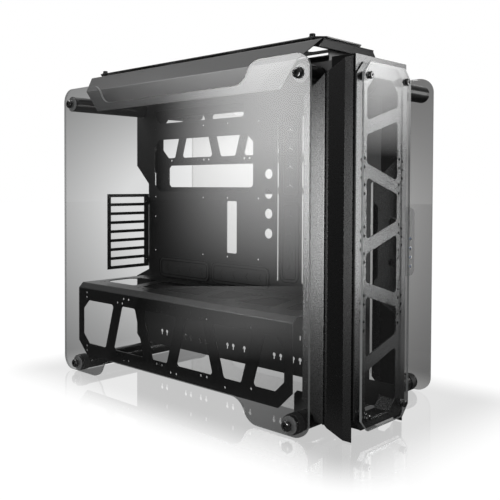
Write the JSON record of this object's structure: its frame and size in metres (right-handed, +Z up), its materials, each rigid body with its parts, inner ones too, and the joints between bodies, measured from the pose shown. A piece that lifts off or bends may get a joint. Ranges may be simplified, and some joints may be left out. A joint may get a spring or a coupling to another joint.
{
  "type": "open air computer case",
  "caption": "Open-frame PC case: notched glass sides on cross tubes, folded black chassis with truss windows, and a narrow fan tower with a glass front.",
  "frame": {"origin": "floor level under the middle of the case's bounding box", "axes": "+X from the near glass side to the far glass side, -Y to the front tower, +Y to the rear, +Z up"},
  "size_m": [0.412, 0.726, 0.654],
  "materials": {
    "near_glass": "clear tempered glass",
    "far_glass": "lightly smoked tempered glass",
    "front_glass": "clear tempered glass",
    "tube": "gloss black",
    "plug": "plain steel",
    "rubber": "matt black rubber",
    "washer": "translucent washer",
    "screw": "black oxide",
    "small_screw": "black oxide",
    "plastic": "satin black",
    "shell": "bright plated steel",
    "tongue": "blue insert",
    "inner_sheet": "black powder coat",
    "sheet": "dark fine-textured powder coat"
  },
  "bodies": {
    "case": {"left_glass": "near_glass", "right_glass": "far_glass", "tube_top_front": "tube", "tube_top_rear": "tube", "tube_bottom_front": "tube", "tube_bottom_rear": "tube", "tube_end_plugs": "plug", "foot_rings": "rubber", "glass_washers": "washer", "glass_screws": "screw", "motherboard_tray": "sheet", "slot_cage": "inner_sheet", "slot_cage_screws": "small_screw", "grommet_upper": "rubber", "grommet_lower": "rubber", "grommet_deck_rear": "rubber", "grommet_deck_front": "rubber", "side_bracket": "sheet", "chamber_cover": "sheet", "roof_shell": "sheet", "roof_bracket_front": "inner_sheet", "roof_bracket_rear": "inner_sheet", "top_plate": "sheet", "top_standoffs": "small_screw", "top_thumb_screws": "small_screw", "tower_frame": "sheet", "tower_flank_near": "sheet", "tower_flank_far": "sheet", "tower_arm_top_near": "inner_sheet", "tower_arm_top_far": "inner_sheet", "tower_arm_bottom_near": "inner_sheet", "tower_arm_bottom_far": "inner_sheet", "tower_truss": "sheet", "front_glass": "front_glass", "front_spacers": "plastic", "front_screws": "screw", "strip_bracket": "sheet", "strip_housing": "plastic", "button_switches": "plastic", "socket_shells": "shell", "socket_tongues": "tongue"},
    "power": {"power_button": "plastic"},
    "reset": {"reset_button": "plastic"}
  },
  "joints": [
    {"name": "power_press", "type": "slide", "parent": "case", "child": "power", "axis": [0, 1, 0], "range_m": [0, 0.0012], "stiffness_N_per_m": 300, "springref_m": -0.0005},
    {"name": "reset_press", "type": "slide", "parent": "case", "child": "reset", "axis": [0, 1, 0], "range_m": [0, 0.0012], "stiffness_N_per_m": 300, "springref_m": -0.0005}
  ]
}
